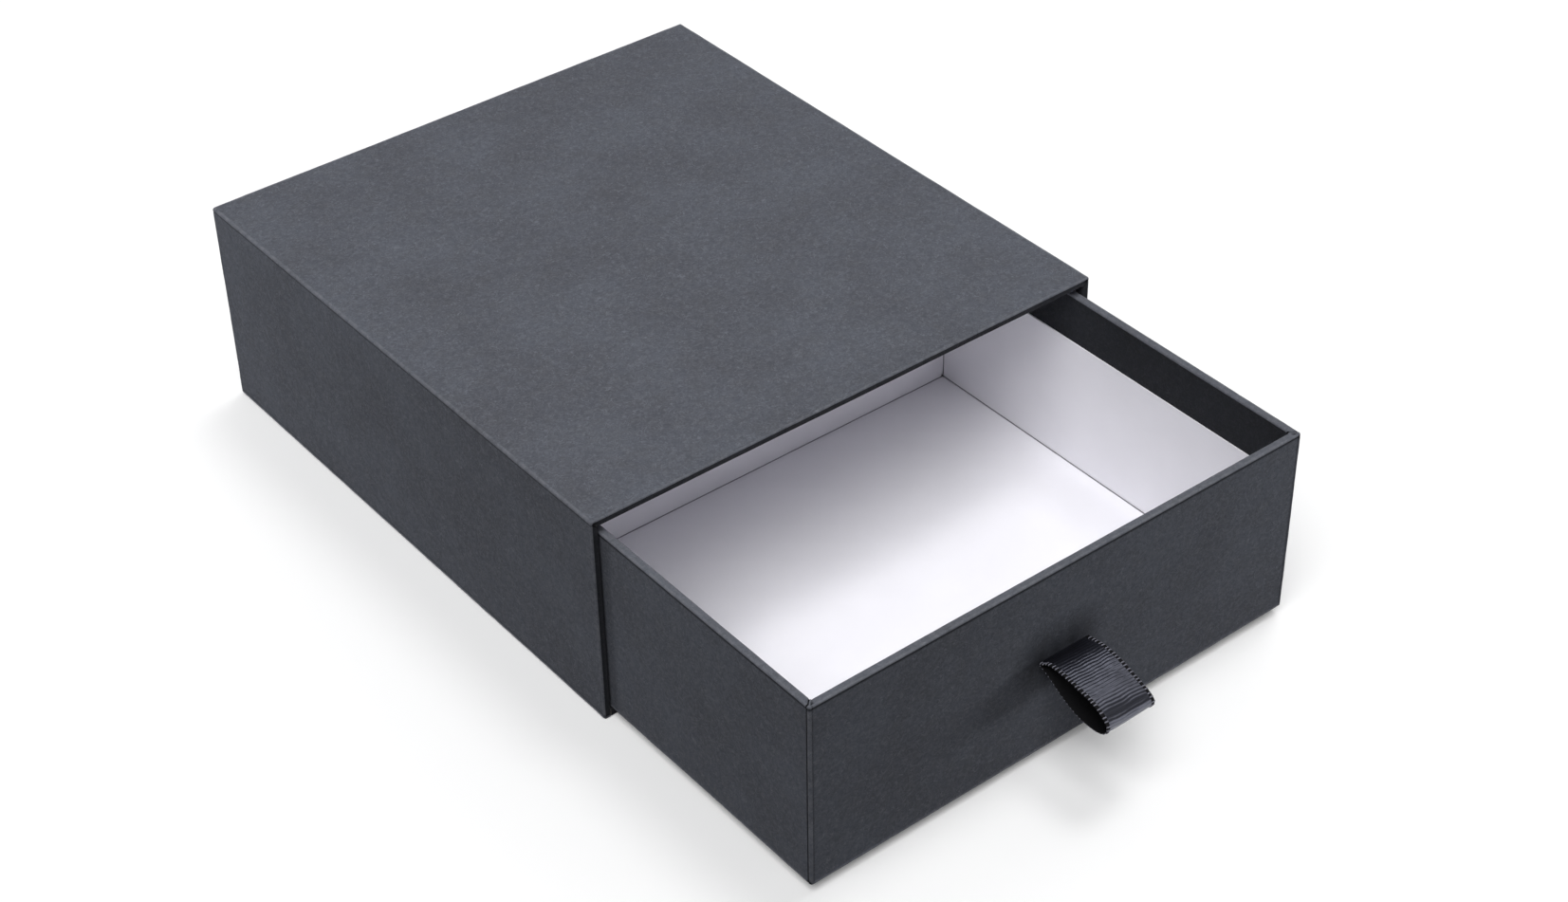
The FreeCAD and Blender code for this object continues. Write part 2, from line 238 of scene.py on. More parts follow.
# Sleeve wrap. One sheet of uncoated charcoal paper, dyed through and glued over the taped boards.
# It is flapped 15 mm under the base and onto the back, and rolled round the mouth's rim and inside,
# with mitred corners that leave a small pit at each corner of the mouth. The strip turned inside is
# a darker copy of the paper, painted shade, and the pits are painted dark as shade.
def dyed_paper(name, depth=1.0):
    """Uncoated paper, dyed in the pulp: cloudy, with warmer patches, a felted grain and short curled
    fibres. Folds are rubbed a little paler, and creases, seams and pits are painted dark as shade. The
    grain is drawn about 1 mm wide, coarser than real.
    depth is how much of its brightness is left: 1 outside, and less for the copy turned in, whose
    darker tone is painted shade."""
    material, tree = new_material(name)

    def dye(colour):
        return [share * depth for share in to_linear(colour)[:3]] + [1.0]

    place = add(tree, "TexCoord").outputs["Object"]
    clouds = add(tree, "TexNoise", {"Vector": place, "Scale": 1 / (28 * MM), "Detail": 3.0})
    cloudy = add(tree, "MapRange", {"Value": clouds, "From Min": 0.35, "From Max": 0.65})
    tone = add(tree, "Mix", {0: cloudy, 6: dye("#52545B"), 7: dye("#585B63")}, data_type="RGBA")
    patches = add(tree, "TexNoise", {"Vector": place, "Scale": 1 / (5 * MM), "Detail": 4.0})
    grain = add(tree, "TexNoise", {"Vector": place, "Scale": 1 / (1.4 * MM), "Detail": 3.0,
                                   "Roughness": 0.7, "Distortion": 1.2})
    felt = add(tree, "TexNoise", {"Vector": place, "Scale": 1 / (5 * MM), "Distortion": 0.6})
    curl = add(tree, "Math", {0: felt, 1: 0.035}, operation="PINGPONG")
    strand = add(tree, "MapRange", {"Value": curl, "From Max": 0.011, "To Min": 1.0, "To Max": 0.0})
    breaks = add(tree, "TexNoise", {"Vector": place, "Scale": 1 / (2.2 * MM)})
    unbroken = add(tree, "MapRange", {"Value": breaks, "From Min": 0.5, "From Max": 0.6})
    fibre = add(tree, "Math", {0: strand, 1: unbroken}, operation="MULTIPLY")
    # Each layer is a pattern, the stretch of it that counts, the layer's share at both ends of that
    # stretch, and its colour: warm patches, hollows of the grain, tops of the grain, and fibres.
    for pattern, low, high, share_low, share_high, colour in (
            (patches, 0.42, 0.66, 0.0, 0.15, "#545352"),
            (grain, 0.36, 0.5, 0.3, 0.0, "#3C3E44"),
            (grain, 0.5, 0.66, 0.0, 0.34, "#72757D"),
            (fibre, 0.0, 1.0, 0.0, 0.32, "#848791")):
        share = add(tree, "MapRange", {"Value": pattern, "From Min": low, "From Max": high,
                                       "To Min": share_low, "To Max": share_high})
        tone = add(tree, "Mix", {0: share, 6: tone, 7: dye(colour)}, data_type="RGBA")
    fold = add(tree, "Attribute", attribute_name="fold").outputs["Fac"]
    spots = add(tree, "TexNoise", {"Vector": place, "Scale": 1 / (2.5 * MM)})
    rub = add(tree, "MapRange", {"Value": spots, "From Min": 0.3, "From Max": 0.7,
                                 "To Min": 0.05, "To Max": 0.36})
    worn = add(tree, "Math", {0: fold, 1: rub}, operation="MULTIPLY")
    tone = add(tree, "Mix", {0: worn, 6: tone, 7: dye("#828389")}, data_type="RGBA")
    # Painted shade: creased, seamed and pitted paper goes towards near black.
    crease_shade = add(tree, "Attribute", attribute_name="crease_shade").outputs["Fac"]
    tone = add(tree, "Mix", {0: crease_shade, 6: tone, 7: dye("#0C0D10")}, data_type="RGBA")
    height = add(tree, "Math", {0: grain, 1: fibre}, operation="ADD")
    relief = add(tree, "Bump", {"Height": height, "Distance": 0.035 * MM})
    surface = add(tree, "BsdfPrincipled", {"Base Color": tone, "Normal": relief, "Roughness": 0.85,
                                           "Specular IOR Level": 0.12})
    add(tree, "OutputMaterial", {"Surface": surface})
    return material


paper_thick = 0.2 * MM
fold_radius = 0.7 * MM
tightest_fold = 0.12 * MM
fold_steps = 5
weld = 0.005 * MM
bow_length, bump_length = 50 * MM, 6 * MM
# Heights of the paper's relief are in mm. full_crease is the depth at which creases are painted
# darkest, as shade.
bow_height, bump_height = 0.1, 0.07
fold_bulge = 0.18
full_crease = 0.12
# Beside a fold, stops are (place, lift): mm from the fold, and mm that the paper stands out. The
# paper is pressed in a little along the sleeve's long edges, where the folding bone has run, and is
# painted darker there, as shade under the rolled edge.
plain_fold = ((0.4, 0.0), (0.9, 0.0), (1.6, 0.0), (2.6, 0.0))
pressed_fold = ((0.25, 0.0), (0.45, -0.06), (0.75, -0.05), (1.0, 0.0), (1.6, 0.0), (2.6, 0.0))


def stops_along(length, beside=plain_fold, step=3.2 * MM):
    """Stops along a straight stretch as (share of its length, lift), with those beside a fold
    repeated from both ends, since the paper changes most there."""
    first = [(place * MM / length, lift) for place, lift in beside]
    low, high = first[-1][0], 1 - first[-1][0]
    count = max(1, round((high - low) * length / step))
    middle = [(low + (high - low) * i / count, 0.0) for i in range(1, count)]
    last = [(1 - share, lift) for share, lift in reversed(first)]
    return [(0.0, 0.0)] + first + middle + last


def half_of(stops, outward):
    """Half of a stretch: from its middle outward to a corner, or from a corner to its middle."""
    if outward:
        return [(0.0, 0.0)] + [(2 * share - 1, lift) for share, lift in stops if share > 0.5]
    return [(2 * share, lift) for share, lift in stops if share < 0.5]


def stops_between(start, end, beside=plain_fold):
    """Depths from start to end, closer together near both."""
    length = abs(end - start)
    return [start + (end - start) * share for share, _ in stops_along(length, beside)] + [end]


def quarter_roll(radius):
    """Rolls a quarter turn: pairs of (how far in, how far on) from the start of a bend to its end."""
    turns = [math.pi / 2 * i / fold_steps for i in range(fold_steps + 1)]
    return [(radius * (1 - math.cos(turn)), radius * math.sin(turn)) for turn in turns]


def rounded_outline(low, high, radius, sides):
    """Rounded rectangle from the middle of its low v side, round by low u, through the stops of its
    five stretches. Each point is (u, v, fold, lift): fold is 1 on the rounded corners."""
    middle = (low[0] + high[0]) / 2
    # Each corner's middle, and the angle at which its turn starts
    corners = [(low[0] + radius, low[1] + radius, 270), (low[0] + radius, high[1] - radius, 180),
               (high[0] - radius, high[1] - radius, 90), (high[0] - radius, low[1] + radius, 0)]
    points = []
    here = (middle, low[1])
    for i, stops in enumerate(sides):
        if i < len(corners):
            u, v, turn = corners[i]
            start = math.radians(turn)
            there = (u + radius * math.cos(start), v + radius * math.sin(start))
        else:
            there = (middle, low[1])
        for share, lift in stops:
            fold = 1.0 if share == 0 and i > 0 else 0.0
            points.append((here[0] + (there[0] - here[0]) * share,
                           here[1] + (there[1] - here[1]) * share, fold, lift))
        if i < len(corners):
            for j in range(fold_steps):
                angle = start - math.pi / 2 * j / fold_steps
                points.append((u + radius * math.cos(angle), v + radius * math.sin(angle), 1.0, 0.0))
            end = start - math.pi / 2
            here = (u + radius * math.cos(end), v + radius * math.sin(end))
    return points


def stray(place, fold):
    """How far hand-glued paper strays from true: slow bows of the board, and quick bumps on folds."""
    bow = noise.noise(place / bow_length)
    bump = noise.noise(place / bump_length)
    return (bow_height * bow + bump_height * fold * bump) * MM


def glued_paper(name, grids, caps=(), pits=(), low=(-1, -1, 0), high=(1, 1, 1)):
    """Paper over grids of (place, fold, lift), seen from the side on which the rows run clockwise.
    It bulges where it is folded, and where lift is below 0 it is creased and painted darker, as
    shade. caps are rows that stay flat and are closed with a face, and pits are hollows of (place,
    radius, depth, darkness), darkness being painted shade. The sheet is pressed flat where it would
    pass low or high, the corners of a box that keeps it off the ground unless it is given."""
    built = bmesh.new()
    fold_layer = built.verts.layers.float.new("fold")
    lift_layer = built.verts.layers.float.new("lift")
    crease_shade_layer = built.verts.layers.float.new("crease_shade")
    flat_layer = built.verts.layers.float.new("flat")
    for rows, closed in grids:
        made = []
        for row in rows:
            made.append([built.verts.new(place) for place, _, _ in row])
            for vertex, (_, fold, lift) in zip(made[-1], row):
                vertex[fold_layer] = fold
                vertex[lift_layer] = lift
        for near, far in zip(made, made[1:]):
            for i in range(len(near) if closed else len(near) - 1):
                j = (i + 1) % len(near)
                built.faces.new((near[i], far[i], far[j], near[j]))
        for row in caps:
            built.faces.new(made[row])
            for vertex in made[row]:
                vertex[flat_layer] = 1.0
    bmesh.ops.remove_doubles(built, verts=built.verts, dist=weld)
    built.normal_update()
    moves = []
    for vertex in built.verts:
        lift, fold = vertex[lift_layer], vertex[fold_layer]
        move = (lift + fold_bulge * fold) * MM
        # Painted shade: the deeper it is creased and the nearer a pit, the darker the paper is painted.
        crease_shade = -lift / full_crease
        for place, radius, depth, darkness in pits:
            near = 1 - (vertex.co - Vector(place)).length / radius
            move -= depth * max(0.0, near) ** 0.5
            crease_shade = max(crease_shade, darkness * near)
        crease_shade = min(1.0, max(0.0, crease_shade))
        vertex[crease_shade_layer] = crease_shade
        loose = (1 - crease_shade) * (1 - vertex[flat_layer])
        moves.append(vertex.normal * (move + loose * stray(vertex.co, fold)))
    for vertex, move in zip(built.verts, moves):
        moved = vertex.co + move
        vertex.co = [min(max(value, least), most) for value, least, most in zip(moved, low, high)]
    mesh = bpy.data.meshes.new(name)
    built.to_mesh(mesh)
    built.free()
    piece = bpy.data.objects.new(name, mesh)
    bpy.context.scene.collection.objects.link(piece)
    solid = piece.modifiers.new("thickness", "SOLIDIFY")
    solid.thickness = paper_thick
    solid.offset = -1
    return settled(piece)


def settled(piece, sharp=38):
    """Applies the modifiers and shades the mesh smooth, but not over edges sharper than given."""
    bpy.context.view_layer.update()
    seen = piece.evaluated_get(bpy.context.evaluated_depsgraph_get())
    mesh = bpy.data.meshes.new_from_object(seen)
    piece.modifiers.clear()
    piece.data = mesh
    mesh.polygons.foreach_set("use_smooth", [True] * len(mesh.polygons))
    mesh.set_sharp_from_angle(angle=math.radians(sharp))
    return piece


def finish(piece, papers, body, node):
    """Gives a piece its papers, and sets it in place of a CAD node on that node's body."""
    piece.data.materials.clear()
    for material in papers:
        piece.data.materials.append(material)
    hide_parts(node)
    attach(piece, body)


def paint_shade_inside(piece, inside):
    """Gives the second paper, a copy darkened as painted shade, to the faces whose middle is inside."""
    for face in piece.data.polygons:
        face.material_index = int(inside(face.center))


wrap_low, wrap_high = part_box("sleeve_wrap")
lining_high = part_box("sleeve_lining")[1]
rim_width = wrap_high.x - lining_high.x
flap = 15 * MM
turn_in = 18 * MM
rim_radius = 0.5 * MM
inner_radius = 0.5 * MM
flap_share = (wrap_high.x - flap) / (wrap_high.x - fold_radius)
wide = stops_along(wrap_high.x - wrap_low.x - 2 * fold_radius)
tall = stops_along(wrap_high.z - wrap_low.z - 2 * fold_radius, pressed_fold)
base_left = sorted(half_of(wide, True) + [(flap_share, 0.0)])
base_right = sorted(half_of(wide, False) + [(1 - flap_share, 0.0)])


def sleeve_row(inset, y, fold=0.0, base_inset=None, corners=1.0):
    """The sleeve's outline at one depth, set in all round, or by another measure at its base.
    corners is how far the paper is folded round its corners."""
    low = (wrap_low.x + inset, wrap_low.z + (inset if base_inset is None else base_inset))
    high = (wrap_high.x - inset, wrap_high.z - inset)
    radius = max(fold_radius - inset, tightest_fold)
    points = rounded_outline(low, high, radius, [base_left, tall, wide, tall, base_right])
    return [(Vector((u, y, v)), max(fold, bent * corners), lift) for u, v, bent, lift in points]


# The flaps on the back, the folds round the back, and the rear end of the tube, closed all round
back_rows = [sleeve_row(inset, wrap_high.y, corners=0.0)
             for inset in stops_between(flap, fold_radius)[:-1]]
back_rows += [sleeve_row(fold_radius - on, wrap_high.y - along, 1.0)
              for along, on in quarter_roll(fold_radius)]
back_rows += [sleeve_row(0.0, y) for y in stops_between(wrap_high.y - fold_radius,
                                                        wrap_high.y - flap)[1:]]
# The rest of the tube, which is open underneath between its two flaps
flap_first = sum(share < flap_share for share, _ in base_left)
flap_last = -sum(share > 1 - flap_share for share, _ in base_right)
tube_rows = [sleeve_row(0.0, y)[flap_first:flap_last]
             for y in stops_between(wrap_high.y - flap, wrap_low.y + rim_radius)]
# Round the rim of the mouth and inside, but not along its base
rim_rows = [sleeve_row(inset, wrap_low.y + rim_radius - on, 1.0, 0.0)
            for inset, on in quarter_roll(rim_radius)]
rim_rows += [sleeve_row(inset, wrap_low.y, 0.4, 0.0)
             for inset in stops_between(rim_radius, rim_width - inner_radius, ((0.3, 0.0),))[1:-1]]
rim_rows += [sleeve_row(rim_width - inner_radius + along, wrap_low.y + back, 0.6, 0.0)
             for back, along in quarter_roll(inner_radius)]
rim_rows += [sleeve_row(rim_width, y, 0.0, 0.0)
             for y in stops_between(wrap_low.y + inner_radius, wrap_low.y + turn_in)[1:]]
rim_first = len(base_left)
rim_last = 1 - len(base_right)
rim_rows = [row[rim_first:rim_last] for row in rim_rows]
# Two tabs that close the rim from below, at the lower corners of the mouth
tab_depths = (rim_radius, 0.02 * MM)
tab_inner, tab_outer = lining_high.x - 0.4 * MM, wrap_high.x - 0.3 * MM
left_tab, right_tab = (
    [[(Vector((x, wrap_low.y + back, wrap_low.z)), 0.0, 0.0) for x in places] for back in tab_depths]
    for places in ((-tab_inner, -tab_outer), (tab_outer, tab_inner)))
mitre = 1.2 * MM
# Pits at the mouth's top corners, painted dark as shade.
mouth_pits = [((side * (wrap_high.x - mitre), wrap_low.y, wrap_high.z - mitre), 0.9 * MM, 0.1 * MM, 3.0)
              for side in (-1, 1)]
charcoal = dyed_paper("uncoated dyed charcoal paper")
# The paper turned in is a copy of the same paper, darkened as painted shade.
shaded_turn_in = dyed_paper("charcoal paper turned in, painted shade", 0.24)
sleeve_paper = glued_paper("sleeve_wrap_paper", [(back_rows, True), (tube_rows, False), (rim_rows, False),
                                                 (left_tab, False), (right_tab, False)],
                           pits=mouth_pits)
finish(sleeve_paper, [charcoal, shaded_turn_in], "sleeve", "sleeve_wrap")


def inside_mouth(place):
    """True behind the rim of the mouth, on the strip that is turned in."""
    from_side = min(wrap_high.x - abs(place.x), wrap_high.z - place.z, place.z - wrap_low.z)
    return place.y < wrap_low.y + turn_in + paper_thick and from_side > 0.5 * MM


# The strip behind the mouth's rim is painted darker, as shade.
paint_shade_inside(sleeve_paper, inside_mouth)


# Base and back papers. Charcoal sheets glued on last, over the wrap's flaps, 1.5 mm in from the edges.
# The base paper also rolls over the front edge of the base board and lines the first 18 mm inside.
flap_relief = 0.08
sheet_inset = 1.5 * MM
over_flap = ((0.4, 0.0), (0.9, 0.0), (13.2, 0.0), (13.8, 0.0))


def across(half_width):
    """Places across a sheet from left to right."""
    return stops_between(-half_width, half_width, over_flap)


def relief_over(from_edge):
    """The sheet stands up where a flap lies under it."""
    return flap_relief if from_edge < flap - sheet_inset else 0.0


back_low, back_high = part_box("sleeve_back_paper")
back_grid = []
for z in stops_between(back_low.z, back_high.z, over_flap):
    from_end = min(z - back_low.z, back_high.z - z)
    back_grid.append([(Vector((x, back_high.y, z)), 0.0, relief_over(min(from_end, back_high.x - abs(x))))
                      for x in across(back_high.x)])
back_paper = glued_paper("sleeve_back_sheet", [(back_grid, False)])
finish(back_paper, [charcoal], "sleeve", "sleeve_back_paper")

base_low, base_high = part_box("sleeve_base_paper")
nose_half = lining_high.x - 0.1 * MM
widens_over = 3 * MM
base_path = [(y, base_low.z, 0.0)
             for y in stops_between(base_high.y, base_low.y + rim_radius, over_flap)]
base_path += [(base_low.y + rim_radius - on, base_low.z + along, 1.0)
              for along, on in quarter_roll(rim_radius)[1:]]
base_path += [(base_low.y + back, base_high.z - inner_radius + on, 0.6)
              for back, on in quarter_roll(inner_radius)]
base_path += [(y, base_high.z, 0.0)
              for y in stops_between(base_low.y + inner_radius, base_low.y + turn_in)[1:]]
base_grid = []
for y, z, fold in base_path:
    underneath = z == base_low.z
    share = min(1.0, (y - base_low.y) / widens_over) if underneath else 0.0
    narrowing = (nose_half + (base_high.x - nose_half) * share) / base_high.x
    base_grid.append([(Vector((x * narrowing, y, z)), fold, 0.0) for x in reversed(across(base_high.x))])
base_paper = glued_paper("sleeve_base_sheet", [(base_grid, False)])
finish(base_paper, [charcoal, shaded_turn_in], "sleeve", "sleeve_base_paper")
# The base paper's part inside the mouth is painted darker, as shade.
paint_shade_inside(base_paper, lambda place: place.z > base_low.z + 0.5 * MM)


# Sleeve lining. Thin white paper on the inner faces of the sleeve, behind the turned-in wrap.
# It is glued flat, so its shape is the CAD node's.
def smooth_white(name, colour, shade, tooth, gap_shade=None):
    """White wood-free paper or card: very even, with a trace of grey cloud and a fine tooth, whose
    grains are tooth metres wide. The last argument gives the share of a hairline of painted shade,
    from the tree and the place."""
    material, tree = new_material(name)
    place = add(tree, "TexCoord").outputs["Object"]
    clouds = add(tree, "TexNoise", {"Vector": place, "Scale": 1 / (18 * MM), "Detail": 4.0})
    cloudy = add(tree, "MapRange", {"Value": clouds, "From Min": 0.3, "From Max": 0.7})
    tone = add(tree, "Mix", {0: cloudy, 6: to_linear(shade), 7: to_linear(colour)}, data_type="RGBA")
    # Painted shade: a grey hairline where two cards meet.
    if gap_shade:
        tone = add(tree, "Mix", {0: gap_shade(tree, place), 6: tone, 7: to_linear("#99979D")},
                   data_type="RGBA")
    grain = add(tree, "TexNoise", {"Vector": place, "Scale": 1 / tooth})
    relief = add(tree, "Bump", {"Height": grain, "Distance": 0.02 * MM})
    surface = add(tree, "BsdfPrincipled", {"Base Color": tone, "Normal": relief, "Roughness": 0.6,
                                           "IOR": 1.5})
    add(tree, "OutputMaterial", {"Surface": surface})
    return material


dress("sleeve_lining", smooth_white("white lining paper", "#ECECEF", "#E8E8EC", 0.6 * MM))


# Drawer wrap. One charcoal sheet glued under the tray and up its four sides, rolled over the rim and
# down inside. The front and back run past the corners, so a seam shows 1 mm round each corner, its
# groove painted dark as shade. The band inside the walls is a darker copy of the paper, painted
# shade, and round the slit the paper is painted darker as the ribbon's shadow.
tray_low, tray_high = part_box("drawer_wrap")
tray_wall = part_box("left_lining")[0].x - tray_low.x
band_depth = 20.5 * MM
tray_rim_radius = 0.5 * MM
slit_half = 10.25 * MM
slit_gap = 0.4 * MM
slit_z = (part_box("ribbon_tails")[0].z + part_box("ribbon_tails")[1].z) / 2
# As lifts, in mm. The slit's recess, the seams' grooves and the line pressed beside the front's
# folds sink in, and are painted darker there, as shade.
slit_depth = 0.6
seam_depth = 0.14
seam = ((0.25, 0.08), (0.32, -seam_depth), (0.84, -seam_depth), (0.92, 0.0), (1.3, 0.0), (1.8, 0.0),
        (2.6, 0.0))
front_fold = ((0.15, -0.04), (0.45, -0.04), (0.8, 0.0), (1.6, 0.0), (2.6, 0.0), (4.0, 0.0))
tray_wide = stops_along(tray_high.x - tray_low.x - 2 * fold_radius, front_fold)
tray_long = stops_along(tray_high.y - tray_low.y - 2 * fold_radius, seam)
slit_places = [slit_half + edge * 0.12 * MM for edge in (-1, 1)]
front_half = tray_high.x - fold_radius
front_left = sorted(half_of(tray_wide, True) + [(place / front_half, 0.0) for place in slit_places])
front_right = sorted(half_of(tray_wide, False) + [(1 - place / front_half, 0.0) for place in slit_places])


def tray_row(inset, z, fold=0.0, seams=1.0, lift=0.0):
    """The tray's outline at one height, set in all round. seams is how deep the corner seams are."""
    low = (tray_low.x + inset, tray_low.y + inset)
    high = (tray_high.x - inset, tray_high.y - inset)
    radius = max(fold_radius - inset, tightest_fold)
    row = []
    for x, y, bent, rise in rounded_outline(low, high, radius,
                                            [front_left, tray_long, tray_wide, tray_long, front_right]):
        in_slit = abs(x) < slit_half and abs(z - slit_z) < slit_gap and y < tray_low.y + fold_radius
        rise = -slit_depth if in_slit else max(rise * seams + lift, -seam_depth)
        row.append((Vector((x, y, z)), max(fold, bent * seams), rise))
    return row


# The underside, from its middle outward, and the folds round it
tray_rows = [tray_row(inset * MM, tray_low.z, 0.0, 0.0)
             for inset in (60, 45, 30, 20, 12, 6, 2.6, 1.5)]
tray_rows += [tray_row(fold_radius - on, tray_low.z + along, 1.0, 0.5)
              for along, on in quarter_roll(fold_radius)]
# The walls, with rows along the slit's edges, and a dip in the last three rows under the rim,
# painted darker as shade
wall_top = tray_high.z - tray_rim_radius
rim_fold = ((0.25, 0.0), (0.55, 0.0), (0.9, 0.0), (1.3, 0.0), (2.0, 0.0))
wall_stops = stops_between(tray_low.z + fold_radius, wall_top, rim_fold)[1:-1]
wall_stops += [slit_z + side * (slit_gap + edge * 0.1 * MM) for side in (-1, 1) for edge in (-1, 1)]
wall_stops.sort()
dips = [0.0] * (len(wall_stops) - 3) + [-0.04, -0.1, -0.08]
tray_rows += [tray_row(0.0, z, lift=dip) for z, dip in zip(wall_stops, dips)]
# Over the rim and down inside, as far as the lower edge of the band painted dark as shade; the
# first row is pressed in a little and painted darker, as shade
tray_rows += [tray_row(inset, wall_top + up, 1.0, 1.0, 0.0 if up else -0.05)
              for inset, up in quarter_roll(tray_rim_radius)]
tray_rows += [tray_row(inset, tray_high.z, 0.5, 1.0) for inset in
              stops_between(tray_rim_radius, tray_wall - tray_rim_radius, ((0.3, 0.0),))[1:-1]]
tray_rows += [tray_row(tray_wall - tray_rim_radius + along, tray_high.z - down, 0.6, 1.0)
              for down, along in quarter_roll(tray_rim_radius)]
tray_rows += [tray_row(tray_wall, z, 0.0, 0.4)
              for z in stops_between(wall_top, tray_high.z - band_depth, rim_fold)[1:]]
# Pits at the front corners of the rim and of the underside, painted dark as shade, and the
# ribbon's painted shadow round the slit
tray_pits = [((side * (tray_high.x - 1.5 * MM), tray_low.y + 1.2 * MM, tray_high.z), 0.7 * MM, 0.1 * MM, 3.0)
             for side in (-1, 1)]
tray_pits += [((side * tray_high.x, tray_low.y + 0.9 * MM, tray_low.z + 0.7 * MM), 1.1 * MM, 0.05 * MM, 2.0)
              for side in (-1, 1)]
# The ribbon's painted shadow: no hollow, only darker paper round the slit.
tray_pits += [((x * MM, tray_low.y, slit_z + 2 * MM), 14 * MM, 0.0, 0.85) for x in (-9, -3, 3)]
side_play = 0.2 * MM
tray_paper = glued_paper("drawer_wrap_paper", [(tray_rows, True)], caps=(0,), pits=tray_pits,
                         low=(tray_low.x - side_play, -1, tray_low.z),
                         high=(tray_high.x + side_play, 1, 1))
finish(tray_paper, [charcoal, shaded_turn_in], "drawer", "drawer_wrap")


def inside_tray(place):
    """True on the band inside the tray's walls, below the rolled rim."""
    from_side = min(tray_high.x - abs(place.x), place.y - tray_low.y, tray_high.y - place.y)
    return tray_low.z + 10 * MM < place.z < wall_top and from_side > tray_wall - 0.3 * MM


# The band inside the walls is painted darker, as shade.
paint_shade_inside(tray_paper, inside_tray)


# Drawer lining and divider. White card, 0.5 mm, die-cut with rounded lower corners and glued in:
# the floor first, then the four walls over the edge of the dark band, then the divider across.
floor_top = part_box("floor_lining")[1].z
inner_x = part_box("right_lining")[0].x
inner_front, inner_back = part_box("front_lining")[1].y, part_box("divider_cover")[0].y
hairline = 0.25 * MM


def card_gap_shade(tree, place):
    """1 along the hairline of painted shade where two cards meet, which is near two of the tray's inner
    faces.
    """
    axes = add(tree, "SeparateXYZ", {"Vector": place}).outputs
    middle_y, reach_y = (inner_front + inner_back) / 2, (inner_back - inner_front) / 2
    faces_near = 0.0
    for axis, middle, reach in (("X", 0.0, inner_x), ("Y", middle_y, reach_y), ("Z", floor_top, 0.0)):
        off = add(tree, "Math", {0: axes[axis], 1: middle}, operation="SUBTRACT")
        away = add(tree, "Math", {0: off}, operation="ABSOLUTE")
        near = add(tree, "Math", {0: away, 1: reach, 2: hairline}, operation="COMPARE")
        faces_near = add(tree, "Math", {0: faces_near, 1: near}, operation="ADD")
    return add(tree, "Math", {0: faces_near, 1: 1.5}, operation="GREATER_THAN")


# The card's hairlines are painted shade in the gaps between cards.
white_card = smooth_white("white lining card", "#F6F5FA", "#F3F2F7", 0.5 * MM, card_gap_shade)
for name in ("floor_lining", "front_lining", "back_lining", "left_lining", "right_lining", "divider_cover"):
    dress(name, white_card)


# Pull ribbon. Black satin, 20 mm wide, folded into a loop with its duller side in. Both ends go
# through the slit in the drawer's front and are glued flat behind it, one up and one down, under a
# strip of tape. The loop springs a little open, and its right edge hangs lower.
def satin():
    """Woven polyester satin: near black, with a sheen across the curve and fine ribs from side to side.
    u is metres along the ribbon and v metres across it. The ribs are drawn 1.1 mm apart, coarser
    than real."""
    material, tree = new_material("black polyester satin")
    place = add(tree, "UVMap").outputs["UV"]
    # At scale 1 the bands of a wave are pi / 10 apart.
    rib_pitch = 1.1 * MM
    rib = add(tree, "TexWave", {"Vector": place, "Scale": math.pi / 10 / rib_pitch, "Distortion": 3.0,
                                "Detail": 1.5, "Detail Scale": 0.6}).outputs["Fac"]
    crush = add(tree, "TexNoise", {"Vector": place, "Scale": 1 / (6 * MM)})
    tone = add(tree, "Mix", {0: rib, 6: to_linear("#060608"), 7: to_linear("#141419")},
               data_type="RGBA")
    ribbed = add(tree, "Bump", {"Height": rib, "Distance": 0.06 * MM})
    crushed = add(tree, "Bump", {"Height": crush, "Distance": 0.35 * MM, "Normal": ribbed})
    along = add(tree, "Tangent", direction_type="UV_MAP", uv_map="UVMap")
    surface = add(tree, "BsdfPrincipled", {
        "Base Color": tone, "Normal": crushed, "Tangent": along, "Roughness": 0.3, "IOR": 1.7,
        "Specular IOR Level": 1.0, "Specular Tint": to_linear("#E4E8FF"), "Anisotropic": 0.4,
        "Anisotropic Rotation": 0.25})
    add(tree, "OutputMaterial", {"Surface": surface})
    return material


def dull_side():
    """The back of the satin: the same black threads without the long floats that shine."""
    material, tree = new_material("dull back of the satin")
    place = add(tree, "UVMap").outputs["UV"]
    weave = add(tree, "TexNoise", {"Vector": place, "Scale": 1 / (0.8 * MM)})
    tone = add(tree, "Mix", {0: weave, 6: to_linear("#050506"), 7: to_linear("#101013")},
               data_type="RGBA")
    relief = add(tree, "Bump", {"Height": weave, "Distance": 0.03 * MM})
    surface = add(tree, "BsdfPrincipled", {"Base Color": tone, "Normal": relief, "Roughness": 0.7,
                                           "Specular IOR Level": 0.15})
    add(tree, "OutputMaterial", {"Surface": surface})
    return material


def curve_through(points, steps):
    """Smooth open curve through the points, by way of steps places between each two."""
    ends = [points[0] * 2 - points[1]] + points + [points[-1] * 2 - points[-2]]
    line = []
    for a, b, c, d in zip(ends, ends[1:], ends[2:], ends[3:]):
        for i in range(steps):
            t = i / steps
            line.append(0.5 * (2 * b + (c - a) * t + (2 * a - 5 * b + 4 * c - d) * t ** 2
                               + (3 * b - a - 3 * c + d) * t ** 3))
    return line + [points[-1]]


def evenly(line, count):
    """count + 1 places at equal distances along a line of points."""
    lengths = [0.0]
    for a, b in zip(line, line[1:]):
        lengths.append(lengths[-1] + (b - a).length)
    places = []
    i = 0
    for k in range(count + 1):
        wanted = lengths[-1] * k / count
        while i < len(line) - 2 and lengths[i + 1] < wanted:
            i += 1
        share = (wanted - lengths[i]) / (lengths[i + 1] - lengths[i])
        places.append(line[i].lerp(line[i + 1], min(1.0, share)))
    return places


